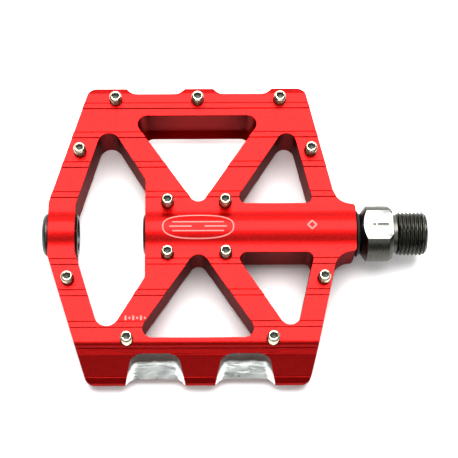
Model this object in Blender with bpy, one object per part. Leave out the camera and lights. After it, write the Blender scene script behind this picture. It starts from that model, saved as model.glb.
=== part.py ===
"""A flat bicycle pedal for the left crank: a machined platform that turns on a threaded steel spindle.

Every size is in millimetres and turned into metres when a mesh is made. X runs along the spindle towards
the crank, Y across the platform and Z up. The platform looks the same after half a turn about the spindle,
so what is cut or fitted on its upper side is repeated on its lower side by half_turn().
"""

import math

import bmesh
import bpy
from mathutils import Vector

MM = 0.001
CORNER_STEPS = 8  # facets of each rounded corner
FIT_GAP = 0.25  # clearance between a piece and the one that holds it

# Platform: section across the spindle
WEB_HALF = 7.2  # half of the plate's thickness
RIB_HEIGHT = 0.45
RIB_WIDTH = 1.83
RIB_ROWS = (42.4, 32.1, 21.7, 11.35, -11.35, -21.7, -32.1)
BULGE_RADIUS = 8.9  # round crest over the spindle
BULGE_ARC = 28.0  # degrees that the crest covers each side of the vertical
BULGE_FOOT = 9.0  # where its flank runs out into the plate
BULGE_STEPS = 7
EDGE_FLAT_END = 46.9
EDGE_TIP = (49.0, 6.2)
SHOULDER_START = 37.2
SHOULDER_STEPS = 7
SHOULDER_BEND = (-38.9, 7.15)
SHOULDER_END = (-39.35, 4.5)
WALL_TOP = (-41.1, 3.7)  # slanted wall under the front shoulder
WALL_FOOT = (-46.8, -3.5)
LIP = (-48.5, -5.0)

# Platform: outline from above
OUTER_END = -47.6
OUTER_FLAT = 8.9
OUTER_CORNER = (-34.9, 49.0)
INNER_CORNER = (36.3, 49.0)
CORNER_RADIUS = 3.5
BOSS_ROOT = 45.85
BOSS_HALF = 8.1
BOSS_END = 51.9
BOSS_FILLET = 6.0
BOSS_CORNER = 1.4

# Windows from above: corner, corner radius
SIDE_WINDOW = ((-38.8, -7.8, 2.5), (-29.4, -37.9, 3.8), (-16.2, -16.5, 2.5))  # its front half
REAR_WINDOW = ((12.4, 8.3, 2.2), (38.3, 8.3, 2.0), (31.4, 37.05, 3.2))
END_WINDOW_WIDE = 39.0
END_WINDOW_LEFT = -21.6
END_WINDOW_RIGHT = 22.9
END_WINDOW_TIP = (1.0, 6.75)
END_WINDOW_RADIUS = 3.0
END_WINDOW_UNDERCUT = ((12.0, 39.0), (7.0, 39.0), (-4.3, 38.2), (-12.0, 32.9))  # height, far wall

# Finger scoops in the slanted walls
SCOOP_TOP = -0.35  # from the top of the wall, down it
SCOOP_CENTRES = (-13.0, 15.8)
SCOOP_FLAT = 4.15  # half width of the straight top
SCOOP_CORNER = 4.0
SCOOP_FLARE = 0.167
SCOOP_SECTION = (  # share of the half width, share of the depth
    (1.0, 0.0), (0.96, 0.2), (0.92, 0.43), (0.88, 0.63), (0.83, 0.8), (0.77, 0.92), (0.7, 0.98), (0.6, 1.0),
)
SCOOP_DEPTHS = (  # distance below the scoop's top, depth
    (0.0, 0.7), (0.15, 0.95), (0.45, 1.3), (0.9, 1.7), (1.5, 2.05), (2.3, 2.4), (3.4, 2.7),
    (6.0, 2.95), (9.0, 2.8), (12.0, 2.4), (15.0, 1.9),
)
SCOOP_OUTSIDE = 3.0

# Traction pins on the upper side: X, Y
PIN_SPOTS = (
    (-26.2, 44.5), (0.9, 44.5), (28.1, 44.5),
    (-37.7, 26.5), (37.9, 26.5),
    (-9.0, 8.7), (9.7, 8.7), (-9.0, -8.7), (9.7, -8.7),
    (-40.8, -17.0), (41.0, -17.0),
    (-21.8, -36.7), (24.4, -36.7),
)
PIN_RADIUS = 2.0
PIN_TIP = 11.2
PIN_LENGTH = 7.6
PIN_CHAMFER = 0.45
PIN_HEX = 2.0  # across flats
PIN_HEX_DEPTH = 1.5
PIN_SEGMENTS = 12

# Spindle stations along X
SPINDLE_TIP = -12.3
BEARING_LEFT = -5.0
BEARING_RIGHT = 0.0
TAPER_END = 36.0
SEAL_RIGHT = 53.2
CONE_START = 53.7
COLLAR_START = 55.5
COLLAR_CHAMFER = 62.9
SHOULDER_FACE = 63.9
THREAD_START = 65.4
THREAD_CHAMFER = 73.9
THREAD_END = 75.1
NUT_THREAD_RADIUS = 3.0
SEAT_RADIUS = 3.4
SHAFT_RADIUS = 4.3
JOURNAL_RADIUS = 5.95
COLLAR_RADIUS = 9.05
SHOULDER_RADIUS = 8.2
RECESS_RADIUS = 7.35  # of the recess in the shoulder face, which clears the thread
RECESS_DEPTH = 0.35
RELIEF_RADIUS = 6.2
THREAD_RADIUS = 7.14  # 9/16 inch by 20 turns to the inch, left hand
THREAD_DEPTH = 0.68
THREAD_PITCH = 1.27
THREAD_SAMPLES = 4
FLATS_ACROSS = 15.0
FLATS_TURN = 6.0  # degrees that the flats are turned about the spindle
SPINDLE_SEGMENTS = 24

# Bores of the platform
BORE_RADIUS = 6.9
NECK_BORE_RADIUS = 6.2
CLIP_GROOVE = (-6.1, -5.2, 7.35)
BUSH_SEAT_START = 36.9
ACCESS_BORE_RADIUS = 6.5
INNER_FACE = -16.2  # the window wall that the bearing bore opens into
OUTER_BEAM_INNER_FACE = -38.8

# Small rolling bearing
PITCH_RADIUS = 5.3  # of the row of balls
BALL_RADIUS = 0.95
BALL_COUNT = 7
RACE_GAP = 0.17  # between a ball and its grooves
OUTER_RING_RADIUS = BORE_RADIUS - 0.15
INNER_RING_RADIUS = SEAT_RADIUS + 0.2
LAND = 0.56  # from the row of balls to the plain part of a ring's face
SHIELD_INSET = 0.15
SHIELD_THICKNESS = 0.5
SHIELD_GAP = 0.2
CAGE_START = -0.3  # along the spindle from the balls' centres
CAGE_END = 1.5

# Pieces that hold the bearing: their places along X and their radii
CIRCLIP_WIDTH = 0.95
CIRCLIP_OPENING = 22.0  # half of the gap, in degrees
CIRCLIP_STEPS = 26
WASHER_LEFT = BEARING_LEFT - 1.0
WASHER_RIGHT = BEARING_LEFT - 0.5
WASHER_RADIUS = 5.3
NUT_LEFT = BEARING_LEFT - 6.1
NUT_RIGHT = BEARING_LEFT - 1.2
NUT_ACROSS = 10.0
NUT_CHAMFER = 0.5

# Covers
SEAL_LEFT = BOSS_END + 0.3
SEAL_PROFILE = ((SEAL_LEFT, 7.5), (SEAL_LEFT + 0.35, 7.6), (SEAL_RIGHT, 6.9))
CUP_LEFT = INNER_FACE - 0.8
CUP_RIGHT = INNER_FACE + 2.4
CUP_RADIUS = BORE_RADIUS - FIT_GAP
CUP_WALL = 0.8
PLUG_FACE = -49.8
PLUG_NECK = OUTER_END - 0.3
PLUG_HEAD_RADIUS = 6.95
PLUG_BARREL_RADIUS = ACCESS_BORE_RADIUS - FIT_GAP
PLUG_LIP_START = OUTER_BEAM_INNER_FACE + 0.2
PLUG_LIP_END = OUTER_BEAM_INNER_FACE + 0.6

ROUND_SEGMENTS = 24


def clear_scene():
    for obj in list(bpy.data.objects):
        bpy.data.objects.remove(obj)


def make_material(name, colour, metallic, roughness):
    material = bpy.data.materials.new(name)
    material.use_nodes = True
    shader = material.node_tree.nodes["Principled BSDF"]
    shader.inputs["Base Color"].default_value = (*colour, 1.0)
    shader.inputs["Metallic"].default_value = metallic
    shader.inputs["Roughness"].default_value = roughness
    return material


def make_empty(name, location, parent=None):
    empty = bpy.data.objects.new(name, None)
    bpy.context.scene.collection.objects.link(empty)
    empty.location = Vector(location) * MM
    empty.parent = parent
    return empty


def make_object(name, shapes, parent, material=None, smooth=True):
    """One object from (points, faces) shapes that don't touch each other."""
    mesh = bpy.data.meshes.new(name)
    points = []
    faces = []
    for shape_points, shape_faces in shapes:
        start = len(points)
        points += [Vector(point) * MM for point in shape_points]
        faces += [[start + index for index in face] for face in shape_faces]
    mesh.from_pydata(points, [], faces)
    tidy = bmesh.new()
    tidy.from_mesh(mesh)
    bmesh.ops.recalc_face_normals(tidy, faces=tidy.faces)
    tidy.to_mesh(mesh)
    tidy.free()
    if smooth:
        mesh.shade_smooth()
        mesh.set_sharp_from_angle(angle=math.radians(30))
    if material:
        mesh.materials.append(material)
    obj = bpy.data.objects.new(name, mesh)
    bpy.context.scene.collection.objects.link(obj)
    obj.parent = parent
    return obj


def make_cutter(name, shapes, parent):
    cutter = make_object(name, shapes, parent, smooth=False)
    cutter.hide_render = True
    cutter.display_type = "WIRE"
    return cutter


def cut(obj, cutter, operation="DIFFERENCE"):
    modifier = obj.modifiers.new(cutter.name, "BOOLEAN")
    modifier.operation = operation
    modifier.object = cutter
    modifier.solver = "EXACT"


def loft(rings, hollow=False):
    """Joins rings of equally many points. The ends are capped, or joined to each other where it is hollow."""
    count = len(rings[0])
    points = [point for ring in rings for point in ring]
    steps = len(rings) if hollow else len(rings) - 1
    faces = []
    for step in range(steps):
        low = step * count
        high = (step + 1) % len(rings) * count
        for index in range(count):
            after = (index + 1) % count
            faces.append((low + index, low + after, high + after, high + index))
    if not hollow:
        faces.append(tuple(range(count)))
        faces.append(tuple(range(len(points) - count, len(points))))
    return points, faces


def circle(x, radius, segments=ROUND_SEGMENTS):
    """A ring of points around the X axis."""
    turns = [2 * math.pi * index / segments for index in range(segments)]
    return [(x, radius * math.sin(turn), radius * math.cos(turn)) for turn in turns]


def turned(profile, hollow=False):
    """A shape turned about the X axis from (x, radius) points. A hollow one has a closed profile."""
    return loft([circle(x, radius) for x, radius in profile], hollow)


def half_turn(shape):
    """The same shape on the platform's other side."""
    points, faces = shape
    return [(x, -y, -z) for x, y, z in points], faces


def mirrored(corners):
    """A row of (x, y, radius) corners mirrored in Y, kept in the same winding."""
    return [(x, -y, radius) for x, y, radius in reversed(corners)]


def rounded(corners, steps=CORNER_STEPS):
    """The outline through (x, y, radius) corners, each turned by an arc of that radius."""
    outline = []
    count = len(corners)
    for index, (x, y, radius) in enumerate(corners):
        here = Vector((x, y))
        if radius == 0:
            outline.append(here)
            continue
        to_last = (Vector(corners[index - 1][:2]) - here).normalized()
        to_next = (Vector(corners[(index + 1) % count][:2]) - here).normalized()
        half_angle = to_last.angle(to_next) / 2
        middle = (to_last + to_next).normalized()
        centre = here + middle * (radius / math.sin(half_angle))
        first = here + to_last * (radius / math.tan(half_angle)) - centre
        last = here + to_next * (radius / math.tan(half_angle)) - centre
        sweep = first.angle_signed(last)
        for step in range(steps + 1):
            turn = -sweep * step / steps
            outline.append(
                centre
                + Vector(
                    (
                        first.x * math.cos(turn) - first.y * math.sin(turn),
                        first.x * math.sin(turn) + first.y * math.cos(turn),
                    )
                )
            )
    return outline


def prism(corners, low, high):
    """An upright prism on a rounded outline."""
    outline = rounded(corners)
    return loft([[(x, y, z) for x, y in outline] for z in (low, high)])


def bezier(start, bend, end, steps):
    """Points after start along a quadratic curve."""
    points = []
    for step in range(1, steps + 1):
        share = step / steps
        points.append(
            tuple(
                (1 - share) ** 2 * a + 2 * share * (1 - share) * b + share**2 * c
                for a, b, c in zip(start, bend, end)
            )
        )
    return points


def rib(row):
    half = RIB_WIDTH / 2
    top = WEB_HALF + RIB_HEIGHT
    return [(row + half, WEB_HALF), (row + half, top), (row - half, top), (row - half, WEB_HALF)]


def bulge():
    """The crest over the spindle, from its rear foot to its front foot."""
    crest = [
        (
            BULGE_RADIUS * math.sin(math.radians(angle)),
            BULGE_RADIUS * math.cos(math.radians(angle)),
        )
        for angle in (BULGE_ARC * share / BULGE_STEPS for share in range(BULGE_STEPS, -BULGE_STEPS - 1, -1))
    ]
    run = (crest[0][1] - WEB_HALF) / math.tan(math.radians(BULGE_ARC))
    bend = (crest[0][0] + run, WEB_HALF)
    foot = (BULGE_FOOT, WEB_HALF)
    rear = [foot] + bezier(foot, bend, crest[0], BULGE_STEPS)
    front = [(-y, z) for y, z in reversed(rear)]
    return rear + crest[1:-1] + front


def platform_section():
    """The extruded section, (y, z), over the top from the rear edge and back underneath."""
    half = [EDGE_TIP, (EDGE_FLAT_END, WEB_HALF)]
    for row in RIB_ROWS:
        if row < 0 and half[-1][0] > 0:
            half += bulge()
        half += rib(row)
    shoulder = (-SHOULDER_START, WEB_HALF)
    half.append(shoulder)
    half += bezier(shoulder, SHOULDER_BEND, SHOULDER_END, SHOULDER_STEPS)
    half += [WALL_TOP, WALL_FOOT, LIP]
    return half + [(-y, -z) for y, z in half]


def platform_outline():
    """The outline from above, (x, y, corner radius), anticlockwise."""
    front = [
        (OUTER_END, -OUTER_FLAT, 1.5),
        (OUTER_CORNER[0], -OUTER_CORNER[1], CORNER_RADIUS),
        (INNER_CORNER[0], -INNER_CORNER[1], CORNER_RADIUS),
        (BOSS_ROOT, -BOSS_HALF, BOSS_FILLET),
        (BOSS_END, -BOSS_HALF, BOSS_CORNER),
    ]
    return front + mirrored(front)


def end_window():
    """A triangular window by an end of the platform, with its wide wall undercut below the middle."""
    left_slope = (END_WINDOW_TIP[0] - END_WINDOW_LEFT) / (END_WINDOW_WIDE - END_WINDOW_TIP[1])
    right_slope = (END_WINDOW_RIGHT - END_WINDOW_TIP[0]) / (END_WINDOW_WIDE - END_WINDOW_TIP[1])
    rings = []
    for z, wide in END_WINDOW_UNDERCUT:
        drawn_in = END_WINDOW_WIDE - wide
        outline = rounded(
            [
                (END_WINDOW_LEFT + left_slope * drawn_in, wide, END_WINDOW_RADIUS),
                (*END_WINDOW_TIP, END_WINDOW_RADIUS),
                (END_WINDOW_RIGHT - right_slope * drawn_in, wide, END_WINDOW_RADIUS),
            ]
        )
        rings.append([(x, y, z) for x, y in outline])
    return loft(rings)


def windows():
    side_outline = [*SIDE_WINDOW, *mirrored(SIDE_WINDOW)]
    tall = 2 * BULGE_RADIUS
    return [
        end_window(),
        half_turn(end_window()),
        prism(side_outline, -tall, tall),
        prism(REAR_WINDOW, -tall, tall),
        prism(mirrored(REAR_WINDOW), -tall, tall),
    ]


def scoop_half_width(down):
    """Half the scoop's width at a distance below its top: a round-cornered arch whose sides flare."""
    corner_end = SCOOP_CORNER * (1 - math.sin(math.atan(SCOOP_FLARE)))
    arch = SCOOP_FLAT + math.sqrt(SCOOP_CORNER**2 - (SCOOP_CORNER - min(down, corner_end)) ** 2)
    return arch + SCOOP_FLARE * max(0.0, down - corner_end)


def scoop(centre):
    """The cutter of one scoop in the front wall, as slices down the wall."""
    top = Vector(WALL_TOP)
    along = (Vector(WALL_FOOT) - top).normalized()
    outward = Vector((along.y, -along.x))
    rings = []
    for down, depth in SCOOP_DEPTHS:
        half = scoop_half_width(down)
        right = [(share * half, -sunk * depth) for share, sunk in SCOOP_SECTION]
        left = [(-x, rise) for x, rise in reversed(right)]
        section = [(half, SCOOP_OUTSIDE)] + right + left + [(-half, SCOOP_OUTSIDE)]
        ring = []
        for x, rise in section:
            place = top + along * (SCOOP_TOP + down) + outward * rise
            ring.append((centre + x, place.x, place.y))
        rings.append(ring)
    return loft(rings)


def scoops():
    front = [scoop(centre) for centre in SCOOP_CENTRES]
    return front + [half_turn(shape) for shape in front]


def upright_circle(x, y, z, radius, segments):
    turns = [2 * math.pi * index / segments for index in range(segments)]
    return [(x + radius * math.cos(turn), y + radius * math.sin(turn), z) for turn in turns]


def pin_holes():
    bottom = PIN_TIP - PIN_LENGTH - FIT_GAP
    radius = PIN_RADIUS + 0.8 * FIT_GAP
    upper = [
        loft([upright_circle(x, y, z, radius, PIN_SEGMENTS) for z in (bottom, PIN_TIP)])
        for x, y in PIN_SPOTS
    ]
    return upper + [half_turn(shape) for shape in upper]


def bores():
    """The stepped bore through the middle, and the access bore in the outer beam."""
    groove_left, groove_right, groove_radius = CLIP_GROOVE
    middle = [
        (INNER_FACE - 6, BORE_RADIUS),
        (groove_left, BORE_RADIUS),
        (groove_left, groove_radius),
        (groove_right, groove_radius),
        (groove_right, BORE_RADIUS),
        (BEARING_RIGHT + FIT_GAP, BORE_RADIUS),
        (BEARING_RIGHT + FIT_GAP, NECK_BORE_RADIUS),
        (BUSH_SEAT_START, NECK_BORE_RADIUS),
        (BUSH_SEAT_START, BORE_RADIUS),
        (BOSS_END + 6, BORE_RADIUS),
    ]
    access = [(OUTER_END - 6, ACCESS_BORE_RADIUS), (OUTER_BEAM_INNER_FACE + 6, ACCESS_BORE_RADIUS)]
    return [turned(middle), turned(access)]


def make_platform(parent, material):
    section = platform_section()
    ends = (OUTER_END - 5, BOSS_END + 5)
    platform = make_object(
        "platform", [loft([[(x, y, z) for y, z in section] for x in ends])], parent, material, smooth=False
    )
    tall = 2 * BULGE_RADIUS
    outline = make_cutter("outline_keep", [prism(platform_outline(), -tall, tall)], parent)
    cut(platform, outline, "INTERSECT")
    cut(platform, make_cutter("window_cut", windows(), parent))
    cut(platform, make_cutter("scoop_cut", scoops(), parent))
    cut(platform, make_cutter("bore_cut", bores(), parent))
    cut(platform, make_cutter("pin_hole_cut", pin_holes(), parent))


def make_pins(parent, material):
    """Grub screws with a socket in the outer end, the same on both sides."""
    bottom = PIN_TIP - PIN_LENGTH
    hex_radius = PIN_HEX / math.sqrt(3)
    outer = [
        (bottom, PIN_RADIUS - PIN_CHAMFER),
        (bottom + PIN_CHAMFER, PIN_RADIUS),
        (PIN_TIP - PIN_CHAMFER, PIN_RADIUS),
        (PIN_TIP, PIN_RADIUS - PIN_CHAMFER),
    ]
    for number, (x, y) in enumerate(PIN_SPOTS, start=1):
        screw = loft([upright_circle(x, y, z, radius, PIN_SEGMENTS) for z, radius in outer])
        socket_ends = (PIN_TIP - PIN_HEX_DEPTH, PIN_TIP + 1)
        socket = loft([upright_circle(x, y, z, hex_radius, 6) for z in socket_ends])
        for side, turn_over in (("upper", list), ("lower", half_turn)):
            pin = make_object(f"{side}_pin_{number:02d}", [turn_over(screw)], parent, material)
            cut(pin, make_cutter(f"{side}_socket_{number:02d}", [turn_over(socket)], parent))


def thread_radius(x, turn):
    """Radius of the left-hand thread's flank at a place along and around the spindle."""
    phase = (x / THREAD_PITCH - turn) % 1.0
    groove = 1 - abs(2 * phase - 1)
    flank = THREAD_RADIUS - THREAD_DEPTH * groove
    end_chamfer = THREAD_RADIUS - max(0.0, x - THREAD_CHAMFER) * 0.85
    lead_in = THREAD_RADIUS - max(0.0, THREAD_START + 0.6 - x) * 1.1
    return max(RELIEF_RADIUS - 0.1, min(flank, end_chamfer, lead_in))


def make_spindle(parent, material):
    plain = [
        (SPINDLE_TIP, NUT_THREAD_RADIUS - 0.5),
        (SPINDLE_TIP + 0.5, NUT_THREAD_RADIUS),
        (BEARING_LEFT - 0.4, NUT_THREAD_RADIUS),
        (BEARING_LEFT - 0.4, SEAT_RADIUS),
        (BEARING_RIGHT + FIT_GAP, SEAT_RADIUS),
        (BEARING_RIGHT + FIT_GAP, SHAFT_RADIUS),
        (TAPER_END, JOURNAL_RADIUS),
        (SEAL_RIGHT + 0.1, JOURNAL_RADIUS),
        (CONE_START, 6.66),
        (COLLAR_START, COLLAR_RADIUS),
        (COLLAR_CHAMFER, COLLAR_RADIUS),
        (SHOULDER_FACE, SHOULDER_RADIUS),
        (SHOULDER_FACE, RECESS_RADIUS),
        (SHOULDER_FACE - RECESS_DEPTH, RECESS_RADIUS - RECESS_DEPTH),
        (SHOULDER_FACE - RECESS_DEPTH, RELIEF_RADIUS),
        (THREAD_START, RELIEF_RADIUS),
    ]
    rings = [circle(x, radius, SPINDLE_SEGMENTS) for x, radius in plain]
    samples = round((THREAD_END - THREAD_START) / THREAD_PITCH * THREAD_SAMPLES)
    for sample in range(1, samples + 1):
        x = THREAD_START + (THREAD_END - THREAD_START) * sample / samples
        ring = []
        for index in range(SPINDLE_SEGMENTS):
            turn = index / SPINDLE_SEGMENTS
            radius = thread_radius(x, turn)
            angle = 2 * math.pi * turn
            ring.append((x, radius * math.sin(angle), radius * math.cos(angle)))
        rings.append(ring)
    spindle = make_object("spindle", [loft(rings)], parent, material)
    block = wrench_flat_block()
    cut(spindle, make_cutter("wrench_flat_cut", [block, half_turn(block)], parent))


def wrench_flat_block():
    """What is milled off one side of the collar."""
    half = FLATS_ACROSS / 2
    turn = math.radians(FLATS_TURN)
    section = [(-2 * half, half), (2 * half, half), (2 * half, 2 * half), (-2 * half, 2 * half)]
    leaning = []
    for y, z in section:
        leaning.append((y * math.cos(turn) + z * math.sin(turn), z * math.cos(turn) - y * math.sin(turn)))
    return loft([[(x, y, z) for y, z in leaning] for x in (CONE_START, SHOULDER_FACE + 0.5)])


def ball_groove(centre, side):
    """Points of a race groove around the ball row; side is 1 for the outer ring and -1 for the inner ring."""
    reach = BALL_RADIUS + RACE_GAP
    angles = [math.radians(angle) for angle in (30, 60, 90, 120, 150)]
    return [(centre - reach * math.cos(a), PITCH_RADIUS + side * reach * math.sin(a)) for a in angles]


def tube(left, right, low, high):
    """A plain ring about the X axis between two radii."""
    return turned([(left, low), (left, high), (right, high), (right, low)], hollow=True)


def make_bearing_rings(platform_body, spindle_body, material):
    centre = (BEARING_LEFT + BEARING_RIGHT) / 2
    outer_land = PITCH_RADIUS + LAND
    outer = [(BEARING_LEFT, OUTER_RING_RADIUS), (BEARING_LEFT, outer_land)]
    outer += ball_groove(centre, 1)
    outer += [(BEARING_RIGHT, outer_land), (BEARING_RIGHT, OUTER_RING_RADIUS)]
    inner_land = PITCH_RADIUS - LAND
    inner = [(BEARING_LEFT, INNER_RING_RADIUS), (BEARING_LEFT, inner_land)]
    inner += ball_groove(centre, -1)
    inner += [(BEARING_RIGHT, inner_land), (BEARING_RIGHT, INNER_RING_RADIUS)]
    make_object("bearing_outer_ring", [turned(outer, hollow=True)], platform_body, material)
    make_object("bearing_inner_ring", [turned(inner, hollow=True)], spindle_body, material)


def make_bearing_shields(parent, material):
    low = PITCH_RADIUS - LAND + SHIELD_GAP
    high = PITCH_RADIUS + LAND - SHIELD_GAP
    starts = {
        "bearing_shield_outboard": BEARING_LEFT + SHIELD_INSET,
        "bearing_shield_inboard": BEARING_RIGHT - SHIELD_INSET - SHIELD_THICKNESS,
    }
    for name, start in starts.items():
        make_object(name, [tube(start, start + SHIELD_THICKNESS, low, high)], parent, material)


def make_balls(parent, material, cage_material):
    """The balls, and the cage with a pocket around each of them."""
    centre = (BEARING_LEFT + BEARING_RIGHT) / 2
    low = PITCH_RADIUS - LAND + SHIELD_GAP
    high = PITCH_RADIUS + LAND - SHIELD_GAP
    cage = make_object(
        "ball_cage", [tube(centre + CAGE_START, centre + CAGE_END, low, high)], parent, cage_material
    )
    pockets = []
    for number in range(BALL_COUNT):
        angle = 2 * math.pi * number / BALL_COUNT
        place = Vector((centre, PITCH_RADIUS * math.sin(angle), PITCH_RADIUS * math.cos(angle)))
        make_object(f"ball_{number + 1}", [ball(place, BALL_RADIUS, 6)], parent, material)
        pockets.append(ball(place, BALL_RADIUS + FIT_GAP, 7))
    cut(cage, make_cutter("pocket_cut", pockets, parent))


def ball(place, radius, rings):
    """A closed ball of rings from pole to pole, with twice as many segments around."""
    segments = 2 * rings
    points = [place + Vector((0, 0, radius))]
    for ring in range(1, rings):
        tilt = math.pi * ring / rings
        for index in range(segments):
            turn = 2 * math.pi * index / segments
            points.append(
                place
                + radius
                * Vector((math.sin(tilt) * math.cos(turn), math.sin(tilt) * math.sin(turn), math.cos(tilt)))
            )
    points.append(place - Vector((0, 0, radius)))
    last = len(points) - 1
    faces = []
    for index in range(segments):
        after = (index + 1) % segments
        faces.append((0, 1 + index, 1 + after))
        faces.append((last, last - segments + after, last - segments + index))
        for ring in range(rings - 2):
            low = 1 + ring * segments
            faces.append((low + index, low + segments + index, low + segments + after, low + after))
    return points, faces


def make_circlip(parent, material):
    """An internal retaining ring with a gap, in the groove beside the bearing."""
    left, right, groove_radius = CLIP_GROOVE
    outer = groove_radius - 0.2
    inner = outer - CIRCLIP_WIDTH
    opening = math.radians(CIRCLIP_OPENING)
    sweep = 2 * math.pi - 2 * opening
    angles = [opening + sweep * step / CIRCLIP_STEPS for step in range(CIRCLIP_STEPS + 1)]
    outline = [(outer * math.sin(angle), outer * math.cos(angle)) for angle in angles]
    outline += [(inner * math.sin(angle), inner * math.cos(angle)) for angle in reversed(angles)]
    ends = (left + 0.1, right - 0.1)
    make_object("circlip", [loft([[(x, y, z) for y, z in outline] for x in ends])], parent, material)


def make_locknut(parent, material):
    corner = NUT_ACROSS / math.sqrt(3)
    profile = [(NUT_LEFT, corner - NUT_CHAMFER), (NUT_LEFT + NUT_CHAMFER, corner), (NUT_RIGHT, corner)]
    nut = make_object("lock_nut", [loft([circle(x, radius, 6) for x, radius in profile])], parent, material)
    hole_radius = NUT_THREAD_RADIUS + FIT_GAP
    hole = turned([(NUT_LEFT - 1, hole_radius), (NUT_RIGHT + 1, hole_radius)])
    cut(nut, make_cutter("nut_hole_cut", [hole], parent))


def make_thrust_washer(parent, material):
    washer = tube(WASHER_LEFT, WASHER_RIGHT, NUT_THREAD_RADIUS + FIT_GAP, WASHER_RADIUS)
    make_object("thrust_washer", [washer], parent, material)


def make_plain_bush(parent, material):
    low = JOURNAL_RADIUS + FIT_GAP
    high = BORE_RADIUS - FIT_GAP
    make_object("plain_bush", [tube(BUSH_SEAT_START + FIT_GAP, BOSS_END - 0.3, low, high)], parent, material)


def make_axle_seal(parent, material):
    """A rubber lip ring that closes the bore where the spindle comes out."""
    low = JOURNAL_RADIUS + FIT_GAP
    lip = [(SEAL_LEFT, low), *SEAL_PROFILE, (SEAL_RIGHT, low)]
    make_object("axle_seal", [turned(lip, hollow=True)], parent, material)


def make_dust_cap(parent, material):
    """A pressed cup in the window-side mouth of the bearing bore, open towards the bearing."""
    cup = [
        (CUP_LEFT, CUP_RADIUS - 1.2),
        (CUP_LEFT + 0.4, CUP_RADIUS - 0.3),
        (CUP_LEFT + 0.9, CUP_RADIUS),
        (CUP_RIGHT, CUP_RADIUS),
        (CUP_RIGHT, CUP_RADIUS - CUP_WALL),
        (CUP_LEFT + CUP_WALL + 0.4, CUP_RADIUS - CUP_WALL - 0.6),
    ]
    make_object("dust_cap", [turned(cup)], parent, material)


def make_access_plug(parent, material):
    """A snap-in bung through the outer beam: a domed head outside, a barrel and a hollow lip inside."""
    plug = [
        (PLUG_FACE, PLUG_HEAD_RADIUS - 2.6),
        (PLUG_FACE + 0.15, PLUG_HEAD_RADIUS - 1.4),
        (PLUG_FACE + 0.5, PLUG_HEAD_RADIUS - 0.55),
        (PLUG_FACE + 1.1, PLUG_HEAD_RADIUS),
        (PLUG_NECK, PLUG_HEAD_RADIUS),
        (PLUG_NECK, PLUG_BARREL_RADIUS),
        (PLUG_LIP_START, PLUG_BARREL_RADIUS),
        (PLUG_LIP_START, PLUG_HEAD_RADIUS - 0.2),
        (PLUG_LIP_END, PLUG_BARREL_RADIUS),
        (PLUG_LIP_END, PLUG_BARREL_RADIUS - 1.1),
        (PLUG_NECK + 2.0, PLUG_BARREL_RADIUS - 1.4),
    ]
    make_object("access_plug", [turned(plug)], parent, material)


def main():
    clear_scene()
    red = make_material("red_anodised", (0.62, 0.018, 0.014), 0.85, 0.38)
    steel = make_material("dark_steel", (0.17, 0.17, 0.17), 1.0, 0.3)
    pin_steel = make_material("pin_steel", (0.66, 0.63, 0.56), 1.0, 0.24)
    bearing_steel = make_material("bearing_steel", (0.72, 0.72, 0.73), 1.0, 0.18)
    bronze = make_material("bush_bronze", (0.55, 0.37, 0.18), 1.0, 0.35)
    rubber = make_material("black_rubber", (0.012, 0.012, 0.013), 0.0, 0.55)
    plastic = make_material("black_plastic", (0.03, 0.033, 0.03), 0.0, 0.3)
    pale_plastic = make_material("cage_plastic", (0.6, 0.55, 0.42), 0.0, 0.45)
    middle = (PLUG_FACE + THREAD_END) / 2
    spindle_body = make_empty("spindle_body", (-middle, 0, 0))
    platform_body = make_empty("platform_body", (0, 0, 0), spindle_body)
    cage_body = make_empty("cage_body", (0, 0, 0), spindle_body)
    make_platform(platform_body, red)
    make_pins(platform_body, pin_steel)
    make_spindle(spindle_body, steel)
    make_bearing_rings(platform_body, spindle_body, bearing_steel)
    make_bearing_shields(platform_body, rubber)
    make_balls(cage_body, bearing_steel, pale_plastic)
    make_circlip(platform_body, steel)
    make_locknut(spindle_body, bearing_steel)
    make_thrust_washer(spindle_body, bearing_steel)
    make_plain_bush(platform_body, bronze)
    make_axle_seal(spindle_body, rubber)
    make_dust_cap(platform_body, plastic)
    make_access_plug(platform_body, plastic)


main()
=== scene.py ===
"""Looks of the flat bicycle pedal: a bevelled red platform, threaded pins and a finer spindle on the frame.

Sizes are in millimetres along the pedal's own axes, with X measured from the bearing's inboard end.
place() turns them into the frame's metres.
"""

import math

import bmesh
import bpy
from mathutils import Matrix, Vector
from mathutils.bvhtree import BVHTree


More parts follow.
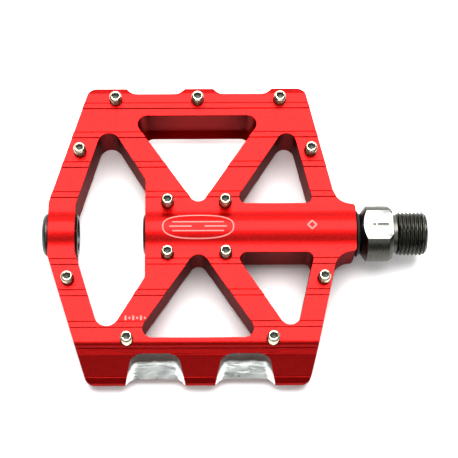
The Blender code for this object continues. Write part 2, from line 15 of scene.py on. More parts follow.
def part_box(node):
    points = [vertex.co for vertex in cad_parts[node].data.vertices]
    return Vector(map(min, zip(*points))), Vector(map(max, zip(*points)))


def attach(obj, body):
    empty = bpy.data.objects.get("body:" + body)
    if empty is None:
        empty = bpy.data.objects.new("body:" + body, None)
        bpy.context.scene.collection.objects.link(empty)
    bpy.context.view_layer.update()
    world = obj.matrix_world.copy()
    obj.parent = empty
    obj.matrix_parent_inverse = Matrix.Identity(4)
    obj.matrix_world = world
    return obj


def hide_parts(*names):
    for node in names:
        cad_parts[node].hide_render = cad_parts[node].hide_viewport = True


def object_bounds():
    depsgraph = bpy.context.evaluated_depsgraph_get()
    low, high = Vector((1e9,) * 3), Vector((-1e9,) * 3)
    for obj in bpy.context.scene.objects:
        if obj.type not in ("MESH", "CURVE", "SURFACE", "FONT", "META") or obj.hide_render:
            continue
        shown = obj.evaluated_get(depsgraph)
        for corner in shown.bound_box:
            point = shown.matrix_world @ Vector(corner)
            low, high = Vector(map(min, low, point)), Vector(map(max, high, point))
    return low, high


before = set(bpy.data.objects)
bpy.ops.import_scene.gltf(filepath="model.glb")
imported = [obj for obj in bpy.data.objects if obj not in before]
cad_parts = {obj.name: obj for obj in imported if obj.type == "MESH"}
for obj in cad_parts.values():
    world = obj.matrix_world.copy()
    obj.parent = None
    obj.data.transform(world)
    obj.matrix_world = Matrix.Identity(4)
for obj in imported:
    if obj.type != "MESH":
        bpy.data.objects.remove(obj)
cad_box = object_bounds()

MM = 0.001
START_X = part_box("bearing_inner_ring")[1].x  # where X is zero in the sizes below
FLOOR_Z = cad_box[0].z - 0.2 * MM  # just under the lowest pins
ABOVE = 20.0  # height from which rays are cast down at the platform

# Camera
CAMERA_TILT = 17.9
CAMERA_ROLL = -0.24
CAMERA_DISTANCE = 480.0
CAMERA_AIM = (0.21, 1.87, 0.0)
CAMERA_LENS = 115.2
CAMERA_SHIFT = 0.072

# Platform
WALL_TOP = Vector((-41.1, 3.7))  # Y and Z of the slanted front wall
WALL_FOOT = Vector((-46.8, -3.5))
SCOOP_CENTRES = (-13.0, 15.8)
SCOOP_REACH = 10.0  # half width in which a scoop's faces are looked for
SCOOP_SINK = 0.2  # how far below the wall its faces start
SCOOP_SHADE_RAGGED = 2.4  # how far the cutter marks break up the edge of the painted shade at the scoop's dark end
SCOOP_SHADE_FADE = 5.7  # height that takes a scoop's painted shade ramp from 0 to 1
SCOOP_SHADE_SHIFT = -0.4  # where the painted shade ramp stands at the pedal's middle height
BEAD_LINES = ((-39.4, 4.5), (-46.8, -3.5))  # Y and Z of the raised lines on the front wall
BEAD_RADIUS = 0.15
RIB_ROWS = (42.4, 32.1, 21.7, 11.35, -11.35, -21.7, -32.1)  # Y of each rib's middle
ROOT_BEHIND = 1.17  # from a rib's middle to the line of painted shade behind it
ROOT_Z = 7.16
ROOT_RADIUS = 0.15
LINE_SIDES = 8
WELD_GAP = 0.03
MERGE_GAP = 0.15
RIM_ANGLE = 34.0  # edges sharper than this, in degrees, get a bevel
RIM_BEVEL = 0.12
RIM_PIN_GAP = 1.4  # pin radii around a pin's middle that are left without bevels

# Pins
PIN_COUNT = 13  # on each side
PIN_RADIUS = 2.0
PIN_PITCH = 0.7
PIN_THREAD_DEPTH = 0.22
PIN_SOCKET_ACROSS = 2.0
PIN_SOCKET_DEPTH = 1.5
PIN_SEGMENTS = 30

# Spindle
SPINDLE_SEGMENTS = 96
TAPER_END = 36.0
SEAL_RIGHT = 53.2
CONE_START = 53.7
COLLAR_START = 55.5
COLLAR_CHAMFER = 62.6
SHOULDER_FACE = 63.9
THREAD_START = 65.4
THREAD_CHAMFER = 73.9
SHAFT_RADIUS = 4.3
JOURNAL_RADIUS = 5.95
COLLAR_RADIUS = 9.05
SHOULDER_RADIUS = 8.2
RELIEF_RADIUS = 6.2
THREAD_RADIUS = 7.14
THREAD_DEPTH = 0.72
THREAD_PITCH = 1.27
FLATS_ACROSS = 15.0
FLATS_TURN = 6.0
FLATS_START = 53.6
STAMP_DEPTH = 0.3
STAMP_HALF = 0.4
STAMPS = ((58.9, 62.4), (57.4, 58.2))  # from X to X, along one flat

# Etched marks
TICK_COUNT = 6
TICKS_START = (-22.2, -29.9)
TICK_PITCH = 1.22


def place(x, y, z):
    """A point of the pedal in the frame's metres."""
    return Vector((START_X + x * MM, y * MM, z * MM))


# Materials


class Surface:
    """A material with a Principled shader, and the nodes that feed it."""

    def __init__(self, name, colour, metallic, roughness):
        self.material = bpy.data.materials.new(name)
        self.material.use_nodes = True
        self.nodes = self.material.node_tree.nodes
        self.links = self.material.node_tree.links
        self.shader = self.nodes["Principled BSDF"]
        self.shader.inputs["Base Color"].default_value = (*colour, 1.0)
        self.shader.inputs["Metallic"].default_value = metallic
        self.shader.inputs["Roughness"].default_value = roughness
        self.place = self.nodes.new("ShaderNodeTexCoord").outputs["Object"]

    def noise(self, scale, detail=2.0, stretch=(1.0, 1.0, 1.0)):
        """Noise with scale features to the metre."""
        mapping = self.nodes.new("ShaderNodeMapping")
        mapping.inputs["Scale"].default_value = stretch
        self.links.new(self.place, mapping.inputs["Vector"])
        noise = self.nodes.new("ShaderNodeTexNoise")
        noise.inputs["Scale"].default_value = scale
        noise.inputs["Detail"].default_value = detail
        self.links.new(mapping.outputs["Vector"], noise.inputs["Vector"])
        return noise.outputs["Fac"]

    def colours(self, source, dark, light, low=0.3, high=0.7):
        """Base colours that follow a node's value, from dark at low to light at high."""
        ramp = self.nodes.new("ShaderNodeValToRGB")
        ramp.color_ramp.elements[0].position = low
        ramp.color_ramp.elements[0].color = (*dark, 1.0)
        ramp.color_ramp.elements[1].position = high
        ramp.color_ramp.elements[1].color = (*light, 1.0)
        self.links.new(source, ramp.inputs["Fac"])
        self.links.new(ramp.outputs["Color"], self.shader.inputs["Base Color"])

    def arithmetic(self, operation, *values):
        """A Math node over sockets and numbers."""
        node = self.nodes.new("ShaderNodeMath")
        node.operation = operation
        for entry, value in zip(node.inputs, values):
            if isinstance(value, float):
                entry.default_value = value
            else:
                self.links.new(value, entry)
        return node.outputs["Value"]

    def roughness(self, source, low, high):
        spread = self.nodes.new("ShaderNodeMapRange")
        spread.inputs["From Min"].default_value = 0.3
        spread.inputs["From Max"].default_value = 0.7
        spread.inputs["To Min"].default_value = low
        spread.inputs["To Max"].default_value = high
        self.links.new(source, spread.inputs["Value"])
        self.links.new(spread.outputs["Result"], self.shader.inputs["Roughness"])

    def bump(self, source, depth_mm, strength=1.0, coated=False):
        bump = self.nodes.new("ShaderNodeBump")
        bump.inputs["Strength"].default_value = strength
        bump.inputs["Distance"].default_value = depth_mm * MM
        self.links.new(source, bump.inputs["Height"])
        self.links.new(bump.outputs["Normal"], self.shader.inputs["Normal"])
        if coated:
            self.links.new(bump.outputs["Normal"], self.shader.inputs["Coat Normal"])

    def coat(self, weight, roughness):
        self.shader.inputs["Coat Weight"].default_value = weight
        self.shader.inputs["Coat Roughness"].default_value = roughness


def red_anodised():
    surface = Surface("red_anodised", (0.6, 0.01, 0.01), 1.0, 0.42)
    surface.shader.inputs["Specular Tint"].default_value = (0.15, 0.01, 0.01, 1.0)
    grain = surface.noise(2600, detail=3)
    surface.colours(grain, (0.2, 0.0012, 0.0009), (0.38, 0.0036, 0.0028))
    surface.roughness(surface.noise(90), 0.37, 0.45)
    surface.bump(grain, 0.035, 0.8, coated=True)
    surface.coat(0.2, 0.22)
    return surface.material


def bare_aluminium():
    surface = Surface("bare_aluminium", (0.8, 0.83, 0.81), 1.0, 0.14)
    cutter_marks = surface.noise(420, detail=2, stretch=(0.35, 1.0, 1.0))
    surface.roughness(surface.noise(300), 0.24, 0.42)
    surface.bump(cutter_marks, 0.45, 0.7)
    # Painted shade: darker at the end where the scoop leaves the wall, on either side of the pedal
    axes = surface.nodes.new("ShaderNodeSeparateXYZ")
    surface.links.new(surface.place, axes.inputs["Vector"])
    facing = surface.arithmetic("SIGN", axes.outputs["Y"])
    height = surface.arithmetic("MULTIPLY", axes.outputs["Z"], facing)
    uneven = surface.arithmetic("MULTIPLY_ADD", cutter_marks, SCOOP_SHADE_RAGGED * MM, height)
    share = surface.arithmetic("MULTIPLY_ADD", uneven, 1 / (SCOOP_SHADE_FADE * MM), SCOOP_SHADE_SHIFT)
    surface.colours(share, (0.07, 0.055, 0.05), (0.82, 0.85, 0.83), 0.1, 0.4)
    return surface.material


def rib_shade_surface():
    # Painted shade: a dark, unreflecting red on the lines behind each rib, standing in for the shade in the
    # crease there
    surface = Surface("painted_rib_shade", (0.1, 0.002, 0.002), 0.0, 0.6)
    surface.shader.inputs["Specular IOR Level"].default_value = 0.0
    surface.colours(surface.noise(2600), (0.07, 0.0012, 0.001), (0.16, 0.003, 0.0025))
    return surface.material


def etched():
    surface = Surface("etched_mark", (0.45, 0.17, 0.16), 0.0, 0.6)
    grain = surface.noise(5200)
    surface.colours(grain, (0.38, 0.13, 0.12), (0.5, 0.2, 0.185))
    surface.bump(grain, 0.01, 0.4)
    return surface.material


def machined_steel(name, dark, light, rough, turning=(1.0, 0.08, 0.08)):
    """Turned steel, with fine rings around the X axis."""
    surface = Surface(name, light, 1.0, rough)
    rings = surface.noise(5200, detail=2, stretch=turning)
    surface.colours(rings, dark, light)
    surface.roughness(surface.noise(350, detail=3), rough * 0.8, rough * 1.25)
    surface.bump(rings, 0.003, 0.4)
    return surface.material


def recess_shade_steel():
    # Painted shade: a dark colour for the pins' hex sockets and the stamp on the spindle's flat, where
    # shade falls in the recess
    surface = Surface("painted_recess_shade", (0.05, 0.06, 0.048), 0.6, 0.4)
    grain = surface.noise(2400, detail=3)
    surface.colours(grain, (0.025, 0.032, 0.024), (0.09, 0.105, 0.085))
    surface.roughness(grain, 0.3, 0.5)
    return surface.material


def zinc():
    surface = Surface("pin_zinc", (0.78, 0.73, 0.62), 1.0, 0.2)
    cloud = surface.noise(700, detail=3)
    surface.colours(cloud, (0.6, 0.54, 0.4), (0.82, 0.77, 0.63))
    surface.roughness(surface.noise(1800), 0.12, 0.27)
    surface.bump(cloud, 0.008, 0.4)
    return surface.material


def rubber(name, colour, rough):
    surface = Surface(name, colour, 0.0, rough)
    grain = surface.noise(4200, detail=3)
    surface.colours(grain, tuple(0.6 * part for part in colour), tuple(1.5 * part for part in colour))
    surface.roughness(surface.noise(500), rough - 0.08, rough + 0.08)
    surface.bump(grain, 0.015, 0.5)
    return surface.material


RED = red_anodised()
SILVER = bare_aluminium()
ETCHED = etched()
RIB_SHADE_RED = rib_shade_surface()
STEEL = machined_steel("spindle_steel", (0.06, 0.061, 0.053), (0.11, 0.109, 0.096), 0.3)
FLAT_STEEL = machined_steel("flat_steel", (0.12, 0.122, 0.118), (0.2, 0.202, 0.197), 0.3, (0.2, 1.0, 1.0))
GROUND_STEEL = machined_steel("ground_steel", (0.6, 0.6, 0.61), (0.78, 0.78, 0.79), 0.16)
BRONZE = machined_steel("bush_bronze", (0.42, 0.27, 0.12), (0.66, 0.44, 0.22), 0.3)
ZINC = zinc()
RECESS_SHADE = recess_shade_steel()
RUBBER = rubber("seal_rubber", (0.012, 0.012, 0.013), 0.5)
PLASTIC = rubber("plug_plastic", (0.009, 0.011, 0.009), 0.3)
NYLON = rubber("cage_nylon", (0.5, 0.45, 0.34), 0.45)


# Shapes


def runs_along_x(edge):
    along = edge.verts[1].co - edge.verts[0].co
    return abs(along.y) + abs(along.z) < 0.08 * abs(along.x)


def shade(made, sharp_angle, sharp_along_x=None):
    """Smooth shading up to an angle. Edges along X may have an angle of their own."""
    for face in made.faces:
        face.smooth = True
    for edge in made.edges:
        limit = sharp_along_x if sharp_along_x and runs_along_x(edge) else sharp_angle
        edge.smooth = len(edge.link_faces) == 2 and edge.calc_face_angle(0.0) < math.radians(limit)


def make_piece(name, mesh_source, body, materials, replaced):
    """A piece from a bmesh, riding on a body."""
    mesh = bpy.data.meshes.new(name)
    mesh_source.to_mesh(mesh)
    mesh_source.free()
    old_normals = mesh.attributes.get("custom_normal")
    if old_normals:
        mesh.attributes.remove(old_normals)
    for material in materials:
        mesh.materials.append(material)
    piece = bpy.data.objects.new(name, mesh)
    bpy.context.scene.collection.objects.link(piece)
    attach(piece, body)
    if replaced:
        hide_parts(*replaced)
    return piece


def lathe(rings, closed=False):
    """A bmesh through rings of equally many points, capped at both ends unless it is closed on itself."""
    made = bmesh.new()
    loops = [[made.verts.new(point) for point in ring] for ring in rings]
    pairs = list(zip(loops, loops[1:]))
    if closed:
        pairs.append((loops[-1], loops[0]))
    count = len(loops[0])
    for low, high in pairs:
        for index in range(count):
            after = (index + 1) % count
            made.faces.new((low[index], low[after], high[after], high[index]))
    if not closed:
        made.faces.new(loops[0])
        made.faces.new(list(reversed(loops[-1])))
    bmesh.ops.recalc_face_normals(made, faces=made.faces)
    return made


def ring_about_x(x, radius, segments):
    turns = [2 * math.pi * index / segments for index in range(segments)]
    return [place(x, radius * math.sin(turn), radius * math.cos(turn)) for turn in turns]


def rounded_profile(profile, radius=0.12, steps=3):
    """A profile of (x, radius) points with its corners softened."""
    soft = []
    last = len(profile) - 1
    for index, corner in enumerate(profile):
        here = Vector(corner)
        if index in (0, last):
            soft.append(here)
            continue
        back = Vector(profile[index - 1]) - here
        ahead = Vector(profile[index + 1]) - here
        reach = min(radius, 0.4 * back.length, 0.4 * ahead.length)
        first = here + back.normalized() * reach
        final = here + ahead.normalized() * reach
        for step in range(steps + 1):
            share = step / steps
            soft.append((1 - share) ** 2 * first + 2 * share * (1 - share) * here + share**2 * final)
    return soft


def subtract(mesh_source, cutters):
    """The bmesh without what the cutter bmeshes cover."""
    made = []
    for number, source in enumerate([mesh_source, *cutters]):
        mesh = bpy.data.meshes.new(f"trim_{number}")
        source.to_mesh(mesh)
        source.free()
        holder = bpy.data.objects.new(f"trim_{number}", mesh)
        bpy.context.scene.collection.objects.link(holder)
        made.append(holder)
    body = made[0]
    for cutter in made[1:]:
        modifier = body.modifiers.new("trim", "BOOLEAN")
        modifier.operation = "DIFFERENCE"
        modifier.solver = "EXACT"
        modifier.object = cutter
    bpy.context.view_layer.update()
    result = bmesh.new()
    evaluated = body.evaluated_get(bpy.context.evaluated_depsgraph_get())
    result.from_mesh(evaluated.to_mesh())
    for holder in made:
        mesh = holder.data
        bpy.data.objects.remove(holder)
        bpy.data.meshes.remove(mesh)
    return result


# Platform


def pin_names(side):
    return [f"{side}_pin_{number:02d}" for number in range(1, PIN_COUNT + 1)]


def bevel_rims(made):
    """Small bevels along the platform's outer edges, but not around its pins. Returns the bevels' edges."""
    pin_boxes = [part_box(node) for node in pin_names("upper") + pin_names("lower")]
    pin_middles = [(low + high) / 2 for low, high in pin_boxes]
    rims = []
    for edge in made.edges:
        if len(edge.link_faces) != 2 or not edge.is_convex:
            continue
        if edge.calc_face_angle(0.0) < math.radians(RIM_ANGLE):
            continue
        middle = (edge.verts[0].co + edge.verts[1].co) / 2
        if min((middle.xy - pin.xy).length for pin in pin_middles) < RIM_PIN_GAP * PIN_RADIUS * MM:
            continue
        rims.append(edge)
    bevelled = bmesh.ops.bevel(
        made,
        geom=rims,
        offset=RIM_BEVEL * MM,
        offset_type="OFFSET",
        segments=2,
        profile=0.5,
        affect="EDGES",
        clamp_overlap=False,
    )
    return {edge for face in bevelled["faces"] for edge in face.edges}


def in_scoop(centre, normal):
    """Whether a face is in one of the finger scoops, which are milled after the anodising."""
    y, z = centre.y / MM, centre.z / MM
    normal_z = normal.z
    if y > 0:
        y, z, normal_z = -y, -z, -normal_z
    along = (WALL_FOOT - WALL_TOP).normalized()
    outward = Vector((along.y, -along.x))
    above_wall = (Vector((y, z)) - WALL_TOP).dot(outward)
    x = (centre.x - START_X) / MM
    beside = min(abs(x - middle) for middle in SCOOP_CENTRES)
    return y < -38.8 and above_wall < -SCOOP_SINK and normal_z > -0.3 and beside < SCOOP_REACH


def platform_solid():
    """A copy of the CAD platform's mesh."""
    made = bmesh.new()
    made.from_mesh(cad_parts["platform"].data)
    return made


def make_platform():
    made = platform_solid()
    flat = math.radians(1.0)
    bmesh.ops.remove_doubles(made, verts=made.verts, dist=WELD_GAP * MM)
    bmesh.ops.dissolve_limit(made, angle_limit=flat, verts=made.verts, edges=made.edges)
    bmesh.ops.dissolve_degenerate(made, dist=MERGE_GAP * MM, edges=made.edges)
    bmesh.ops.remove_doubles(made, verts=made.verts, dist=MERGE_GAP * MM)
    bmesh.ops.dissolve_limit(made, angle_limit=2 * flat, verts=made.verts, edges=made.edges)
    for face in made.faces:
        face.material_index = 1 if in_scoop(face.calc_center_median(), face.normal) else 0
    rims = bevel_rims(made)
    bmesh.ops.triangulate(made, faces=[face for face in made.faces if len(face.verts) > 4])
    shade(made, 25, 12)
    for edge in rims:
        edge.smooth = False
    piece = make_piece("platform_bevelled", made, "platform", [RED, SILVER], ["platform"])
    shading = piece.modifiers.new("even_shading", "WEIGHTED_NORMAL")
    shading.keep_sharp = True


# Pins


def pin_rings():
    """Rings of a threaded pin whose tip is at zero, upwards, then down into the top of its socket."""
    length = (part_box("upper_pin_01")[1].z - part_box("upper_pin_01")[0].z) / MM
    samples = round(length / PIN_PITCH * 8)
    turns = [index / PIN_SEGMENTS for index in range(PIN_SEGMENTS)]

    def ring(height, radius_at):
        points = []
        for turn in turns:
            radius, angle = radius_at(turn), 2 * math.pi * turn
            points.append((radius * math.cos(angle), radius * math.sin(angle), height))
        return points

    rings = [ring(-length, lambda turn: PIN_RADIUS - 0.6)]
    for sample in range(samples + 1):
        height = -length + 0.1 + (length - 0.45) * sample / samples

        def flank(turn, height=height):
            groove = abs(2 * ((height / PIN_PITCH - turn) % 1.0) - 1)
            tip_chamfer = max(0.0, height + 0.75) * 0.55
            end_chamfer = max(0.0, -length + 0.5 - height)
            return PIN_RADIUS - PIN_THREAD_DEPTH * groove**1.5 - tip_chamfer - end_chamfer

        rings.append(ring(height, flank))
    crown = ((-0.22, 1.72), (-0.1, 1.62), (-0.02, 1.48), (0.0, 1.36), (-0.06, 1.26))
    for height, radius in crown:
        rings.append(ring(height, lambda turn, radius=radius: radius))

    def hexagon(turn):
        sector = (turn * 6) % 1.0 - 0.5
        return PIN_SOCKET_ACROSS / 2 / math.cos(sector * math.pi / 3)

    rings.append(ring(-0.18, hexagon))
    rings.append(ring(-PIN_SOCKET_DEPTH, hexagon))
    rings.append(ring(-PIN_SOCKET_DEPTH - 0.35, lambda turn: 0.15))
    return rings


def make_pins():
    rings = pin_rings()
    for side in ("upper", "lower"):
        for number, node in enumerate(pin_names(side), 1):
            low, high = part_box(node)
            middle = (low + high) / 2
            turn = Matrix.Rotation(0.7 * number, 4, "Z")
            if side == "lower":
                turn = Matrix.Rotation(math.pi, 4, "X") @ turn
            tip = Vector((middle.x, middle.y, high.z if side == "upper" else low.z))
            moved = [[tip + turn @ (Vector(point) * MM) for point in ring] for ring in rings]
            made = lathe(moved)
            # The hex socket's faces get the dark colour of painted shade
            for face in made.faces:
                out_of_axis = max((vert.co.xy - tip.xy).length for vert in face.verts)
                face.material_index = 1 if out_of_axis < 0.62 * PIN_SOCKET_ACROSS * MM else 0
            shade(made, 40)
            make_piece(f"{node}_threaded", made, "platform", [ZINC, RECESS_SHADE], [node])


# Spindle


def thread_flank(x, turn):
    """Radius of the left-hand thread, with narrow flats on its crests and in its roots."""
    phase = (x / THREAD_PITCH - turn) % 1.0
    groove = min(1.0, max(0.0, 1.3 * (1 - abs(2 * phase - 1)) - 0.15))
    chamfer = max(0.0, x - THREAD_CHAMFER) * 0.85
    lead_in = max(0.0, THREAD_START + 0.6 - x) * 1.1
    radius = min(THREAD_RADIUS - THREAD_DEPTH * groove, THREAD_RADIUS - chamfer - lead_in)
    return max(RELIEF_RADIUS - 0.1, radius)


def spindle_rings():
    tip = (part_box("spindle")[0].x - START_X) / MM
    end = (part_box("spindle")[1].x - START_X) / MM
    plain = [
        (tip, 1.2),
        (tip, 2.5),
        (tip + 0.5, 3.0),
        (-5.4, 3.0),
        (-5.4, 3.4),
        (0.25, 3.4),
        (0.25, SHAFT_RADIUS),
        (TAPER_END, JOURNAL_RADIUS),
        (SEAL_RIGHT + 0.1, JOURNAL_RADIUS),
        (CONE_START, 6.66),
        (COLLAR_START, COLLAR_RADIUS),
        (COLLAR_CHAMFER, COLLAR_RADIUS),
        (SHOULDER_FACE, SHOULDER_RADIUS),
        (SHOULDER_FACE, 7.35),
        (SHOULDER_FACE - 0.35, 7.0),
        (SHOULDER_FACE - 0.35, RELIEF_RADIUS),
        (THREAD_START, RELIEF_RADIUS),
    ]
    rings = [ring_about_x(x, radius, SPINDLE_SEGMENTS) for x, radius in rounded_profile(plain)]
    samples = round((end - THREAD_START) / THREAD_PITCH * 12)
    for sample in range(1, samples + 1):
        x = THREAD_START + (end - THREAD_START) * sample / samples
        ring = []
        for index in range(SPINDLE_SEGMENTS):
            turn = index / SPINDLE_SEGMENTS
            radius = thread_flank(x, turn)
            angle = 2 * math.pi * turn
            ring.append(place(x, radius * math.sin(angle), radius * math.cos(angle)))
        rings.append(ring)
    for x, radius in ((end, 5.4), (end, 2.3), (end - 0.5, 1.9), (end - 2.2, 0.3)):
        rings.append(ring_about_x(x, radius, SPINDLE_SEGMENTS))
    return rings


def flat_cutters():
    """The blocks milled off for the wrench, turned a little about the spindle, and two bars in one flat."""
    half = FLATS_ACROSS / 2
    wide = 2 * half
    blocks = []
    for side in (0.0, 180.0):
        turn = Matrix.Rotation(math.radians(side - FLATS_TURN), 4, "X")
        blocks.append(block(turn, (CONE_START, SHOULDER_FACE + 0.5), (-wide, wide), (half, wide)))
    turn = Matrix.Rotation(math.radians(-FLATS_TURN), 4, "X")
    for x_range in STAMPS:
        blocks.append(block(turn, x_range, (-STAMP_HALF, STAMP_HALF), (half - STAMP_DEPTH, half + 1)))
    return blocks


def block(turn, x_range, y_range, z_range):
    made = bmesh.new()
    corners = bmesh.ops.create_cube(made, size=1.0)["verts"]
    for corner in corners:
        x, y, z = (
            low + (high - low) * (part + 0.5)
            for part, (low, high) in zip(corner.co, (x_range, y_range, z_range))
        )
        corner.co = place(x, 0, 0) + turn @ Vector((0, y * MM, z * MM))
    return made


def make_spindle():
    made = subtract(lathe(spindle_rings()), flat_cutters())
    rims = []
    for edge in made.edges:
        x = ((edge.verts[0].co.x + edge.verts[1].co.x) / 2 - START_X) / MM
        if not FLATS_START < x < SHOULDER_FACE + 0.05 or len(edge.link_faces) != 2:
            continue
        if edge.is_convex and edge.calc_face_angle(0.0) > math.radians(25):
            rims.append(edge)
    bmesh.ops.bevel(
        made,
        geom=rims,
        offset=0.06 * MM,
        offset_type="OFFSET",
        segments=1,
        affect="EDGES",
        clamp_overlap=True,
    )
    outward = Matrix.Rotation(math.radians(-FLATS_TURN), 3, "X") @ Vector((0, 0, 1))
    for face in made.faces:
        middle = face.calc_center_median()
        on_collar = FLATS_START < (middle.x - START_X) / MM < SHOULDER_FACE - 0.1
        height = abs(middle.dot(outward)) / MM - FLATS_ACROSS / 2
        stamped = -STAMP_DEPTH - 0.1 < height < -0.05 and abs(middle.y) < 2.2 * MM
        # The stamped bar's faces get the dark colour of painted shade
        if on_collar and abs(height) < 0.02:
            face.material_index = 1
        elif on_collar and stamped:
            face.material_index = 2
    shade(made, 24)
    make_piece(
        "spindle_threaded", made, "spindle", [STEEL, FLAT_STEEL, RECESS_SHADE], ["spindle"]
    )


# Round covers


def make_cover(name, node, body, material, profile, closed):
    """A cover turned about the spindle's axis in place of its coarser node."""
    rings = [ring_about_x(x, radius, 72) for x, radius in rounded_profile(profile, 0.1)]
    made = lathe(rings, closed)
    shade(made, 32)
    make_piece(name, made, body, [material], [node])


def make_covers():
    outer = (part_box("access_plug")[0].x - START_X) / MM
    inner = (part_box("access_plug")[1].x - START_X) / MM
    plug = [
        (outer + 0.55, 0.2),
        (outer + 0.55, 2.9),
        (outer + 0.1, 3.3),
        (outer, 4.6),
        (outer + 0.2, 5.7),
        (outer + 0.6, 6.4),
        (outer + 1.2, 6.95),
        (outer + 1.9, 6.95),
        (outer + 1.9, 6.25),
        (inner - 0.4, 6.25),
        (inner - 0.4, 6.75),
        (inner, 6.3),
        (inner, 5.2),
        (outer + 4.0, 4.9),
        (outer + 4.0, 0.2),
    ]
    make_cover("access_plug_turned", "access_plug", "platform", PLASTIC, plug, False)
    left = (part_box("axle_seal")[0].x - START_X) / MM
    right = (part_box("axle_seal")[1].x - START_X) / MM
    seal = [
        (left, 6.2),
        (left, 7.4),
        (left + 0.3, 7.6),
        (left + 0.55, 7.35),
        (left + 0.65, 6.95),
        (right, 6.85),
        (right, 6.2),
    ]
    make_cover("axle_seal_lip", "axle_seal", "spindle", RUBBER, seal, True)
    left = (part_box("dust_cap")[0].x - START_X) / MM
    right = (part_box("dust_cap")[1].x - START_X) / MM
    cup = [
        (left + 0.35, 0.2),
        (left + 0.35, 3.0),
        (left, 3.6),
        (left, 5.5),
        (left + 0.4, 6.35),
        (left + 0.9, 6.65),
        (right, 6.65),
        (right, 5.85),
        (left + 1.2, 5.25),
        (left + 1.2, 0.2),
    ]
    make_cover("dust_cap_turned", "dust_cap", "platform", PLASTIC, cup, False)


# Lines and etched marks


def platform_rays():
    """The CAD platform's faces, for finding points on them."""
    solid = platform_solid()
    rays = BVHTree.FromBMesh(solid)
    solid.free()
    return rays


def stroke(points, width, closed):
    """Both edges of a flat stroke along (x, y) points."""
    count = len(points)
    edges = []
    for index in range(count):
        here = Vector(points[index])
        before = Vector(points[index - 1]) if closed or index else here
        after = Vector(points[(index + 1) % count]) if closed or index < count - 1 else here
        ahead = (after - before).normalized()
        side = Vector((-ahead.y, ahead.x)) * width / 2
        edges.append((here + side, here - side))
    return edges


def resample(points, spacing, closed):
    """The same line with a point at least every spacing."""
    fine = []
    ends = list(points[1:]) + ([points[0]] if closed else [])
    for start, end in zip(points, ends):
        start, end = Vector(start), Vector(end)
        steps = max(1, math.ceil((end - start).length / spacing))
        fine += [start.lerp(end, step / steps) for step in range(steps)]
    if not closed:
        fine.append(Vector(points[-1]))
    return fine


def oval(centre_x, half_long, half_wide, power=2.6, count=72):
    """A squared oval about the spindle's crest."""
    points = []
    for index in range(count):
        turn = 2 * math.pi * index / count
        c, s = math.cos(turn), math.sin(turn)
        points.append(
            (
                centre_x + half_long * math.copysign(abs(c) ** (2 / power), c),
                half_wide * math.copysign(abs(s) ** (2 / power), s),
            )
        )
    return points


def make_mark(name, lines, width):
    """Thin inlaid strokes on the platform's upper side."""
    rays = platform_rays()
    made = bmesh.new()
    lift = Vector((0, 0, 0.015 * MM))
    depth = Vector((0, 0, 0.1 * MM))
    for points, closed in lines:
        edges = stroke(resample(points, 0.5, closed), width, closed)
        rows = []
        for left, right in edges:
            row = []
            for spot in (left, right):
                hit = rays.ray_cast(place(spot.x, spot.y, ABOVE), Vector((0, 0, -1)))[0]
                row.append(hit + lift)
            row += [row[1] - depth, row[0] - depth]
            rows.append([made.verts.new(point) for point in row])
        pairs = list(zip(rows, rows[1:]))
        if closed:
            pairs.append((rows[-1], rows[0]))
        else:
            made.faces.new(rows[0])
            made.faces.new(list(reversed(rows[-1])))
        for low, high in pairs:
            for index in range(4):
                after = (index + 1) % 4
                made.faces.new((low[index], low[after], high[after], high[index]))
    bmesh.ops.recalc_face_normals(made, faces=made.faces)
    make_piece(name, made, "platform", [ETCHED], [])


def open_runs(rays, y, z):
    """The stretches of X along which the platform's upper surface at Y is at the height Z."""
    spacing = 0.2
    tolerance = 0.3
    shortest = 1.0
    runs = []
    start = None
    for step in range(-240, 240):
        x = step * spacing
        hit = rays.ray_cast(place(x, y, ABOVE), Vector((0, 0, -1)))[0]
        on_line = hit is not None and abs(hit.z / MM - z) < tolerance
        if on_line and start is None:
            start = x
        if not on_line and start is not None:
            runs.append((start, x - spacing))
            start = None
    return [run for run in runs if run[1] - run[0] > shortest]


def line_ring(x, y, z, radius):
    turns = [2 * math.pi * index / LINE_SIDES for index in range(LINE_SIDES)]
    return [place(x, y + radius * math.cos(turn), z + radius * math.sin(turn)) for turn in turns]


def make_lines(name, lines, radius, material):
    """Fine raised lines along X at each Y and Z, on both sides of the platform."""
    rays = platform_rays()
    made = bmesh.new()
    for y, z in lines:
        for start, end in open_runs(rays, y, z):
            for side in (1, -1):
                line = lathe([line_ring(x, side * y, side * z, radius) for x in (start, end)])
                holder = bpy.data.meshes.new("line")
                line.to_mesh(holder)
                line.free()
                made.from_mesh(holder)
                bpy.data.meshes.remove(holder)
    shade(made, 50)
    make_piece(name, made, "platform", [material], [])


def make_marks():
    badge = [
        (oval(0.9, 11.4, 3.9), True),
        ([(-7.4, 1.5), (9.2, 1.5)], False),
        ([(-8.4, 0.0), (-1.2, 0.0)], False),
        ([(3.0, 0.0), (10.2, 0.0)], False),
        ([(-7.4, -1.5), (9.2, -1.5)], False),
    ]
    make_mark("etched_badge", badge, 0.42)
    diamond = [(36.2, 0.4), (37.6, 1.8), (39.0, 0.4), (37.6, -1.0)]
    make_mark("etched_diamond", [(diamond, True)], 0.5)
    ticks = []
    start_x, y = TICKS_START
    for step in range(TICK_COUNT):
        x = start_x + TICK_PITCH * step
        reach = 0.75 if step % 2 == 0 else 0.35
        ticks.append(([(x, y - reach), (x, y + reach)], False))
    make_mark("etched_ticks", ticks, 0.6)


def finish_frame_nodes():
    """Better materials on the nodes that stay as they are."""
    finishes = {
        "plain_bush": BRONZE,
        "bearing_outer_ring": GROUND_STEEL,
        "bearing_inner_ring": GROUND_STEEL,
        "bearing_shield_outboard": RUBBER,
        "bearing_shield_inboard": RUBBER,
        "ball_cage": NYLON,
        "circlip": STEEL,
        "thrust_washer": GROUND_STEEL,
        "lock_nut": GROUND_STEEL,
    }
    for number in range(1, 8):
        finishes[f"ball_{number}"] = GROUND_STEEL
    for node, material in finishes.items():
        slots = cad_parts[node].data.materials
        slots.clear()
        slots.append(material)


# Stage


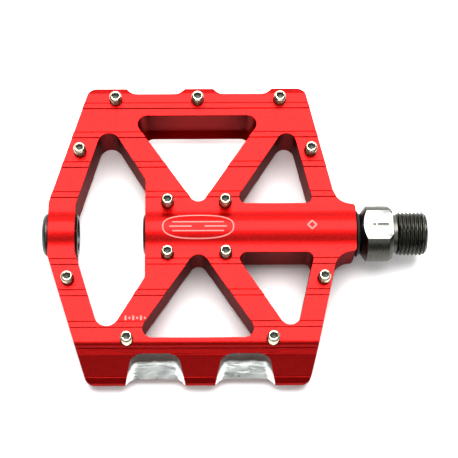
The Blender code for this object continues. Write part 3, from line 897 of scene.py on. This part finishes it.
def make_floor():
    surface = Surface("white_floor", (0.8, 0.8, 0.8), 0.0, 0.7)
    surface.colours(surface.noise(6), (0.79, 0.79, 0.79), (0.81, 0.81, 0.81))
    made = bmesh.new()
    bmesh.ops.create_grid(made, x_segments=1, y_segments=1, size=2.5)
    mesh = bpy.data.meshes.new("floor")
    made.to_mesh(mesh)
    made.free()
    mesh.materials.append(surface.material)
    floor = bpy.data.objects.new("floor", mesh)
    floor.location = (0, 0, FLOOR_Z)
    bpy.context.scene.collection.objects.link(floor)


def make_area_light(name, location, size, power):
    """A soft light aimed at the pedal."""
    light = bpy.data.lights.new(name, "AREA")
    light.shape = "RECTANGLE"
    light.size, light.size_y = size
    light.energy = power
    lamp = bpy.data.objects.new(name, light)
    lamp.location = location
    lamp.rotation_euler = (-Vector(location)).to_track_quat("-Z", "Y").to_euler()
    bpy.context.scene.collection.objects.link(lamp)


def make_light():
    make_area_light("key_above", (-0.02, 0.35, 0.95), (1.0, 0.85), 26.0)
    make_area_light("ceiling_front", (0.0, -0.5, 0.85), (1.4, 1.0), 6.5)
    make_area_light("card_back", (0.1, 1.25, 0.55), (2.2, 1.0), 18.0)
    make_area_light("card_front", (0.0, -1.3, 0.3), (2.0, 0.8), 0.6)
    world = bpy.data.worlds.new("studio")
    world.use_nodes = True
    background = world.node_tree.nodes["Background"]
    background.inputs["Color"].default_value = (1.0, 1.0, 1.0, 1.0)
    background.inputs["Strength"].default_value = 0.15
    bpy.context.scene.world = world
    view = bpy.context.scene.view_settings
    view.view_transform = "Standard"
    view.exposure = 0.12
    view.gamma = 0.82


def make_camera():
    camera = bpy.data.cameras.new("camera")
    camera.sensor_width = 36.0
    camera.lens = CAMERA_LENS
    camera.shift_x = CAMERA_SHIFT
    camera.clip_start = 0.01
    holder = bpy.data.objects.new("camera", camera)
    bpy.context.scene.collection.objects.link(holder)
    tilt = Matrix.Rotation(math.radians(CAMERA_TILT), 4, "X")
    roll = Matrix.Rotation(math.radians(CAMERA_ROLL), 4, "Z")
    back = tilt @ Vector((0, 0, CAMERA_DISTANCE * MM))
    holder.matrix_world = Matrix.Translation(place(*CAMERA_AIM) + back) @ tilt @ roll
    bpy.context.scene.camera = holder


make_camera()
make_light()
make_floor()
make_platform()
make_pins()
make_spindle()
make_covers()
make_lines("edge_beads", BEAD_LINES, BEAD_RADIUS, RED)
# Painted shade: dark lines along the back foot of each rib
make_lines("rib_root_painted_shade", [(row + ROOT_BEHIND, ROOT_Z) for row in RIB_ROWS], ROOT_RADIUS, RIB_SHADE_RED)
make_marks()
finish_frame_nodes()
